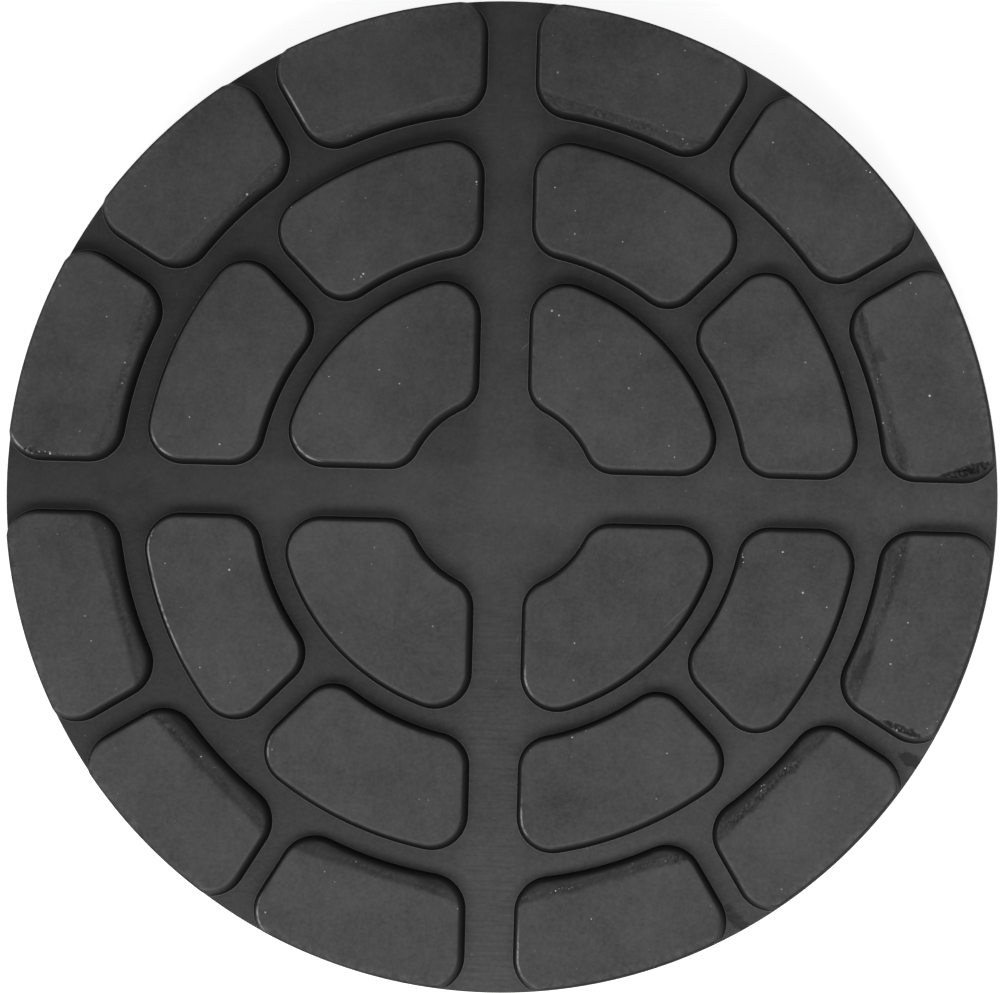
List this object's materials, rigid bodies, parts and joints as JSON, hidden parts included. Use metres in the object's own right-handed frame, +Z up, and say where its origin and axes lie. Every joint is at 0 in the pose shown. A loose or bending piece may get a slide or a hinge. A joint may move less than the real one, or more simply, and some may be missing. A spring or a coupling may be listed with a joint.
{
  "type": "lift arm rubber pad",
  "caption": "Round moulded rubber pad with a plain recess underneath for a lift arm's plate and a raised tread of rounded blocks on top that carries the vehicle's sill.",
  "frame": {"origin": "centre of the rim's underside, on the plane the pad rests on", "axes": "+Z up through the tread, out of the block tops; +X and +Y along the two straight grooves that cross on the tread"},
  "size_m": [0.145, 0.145, 0.025],
  "materials": {
    "rubber": "matte moulded black rubber"
  },
  "bodies": {
    "root": {"rubber_pad": "rubber"}
  },
  "joints": []
}
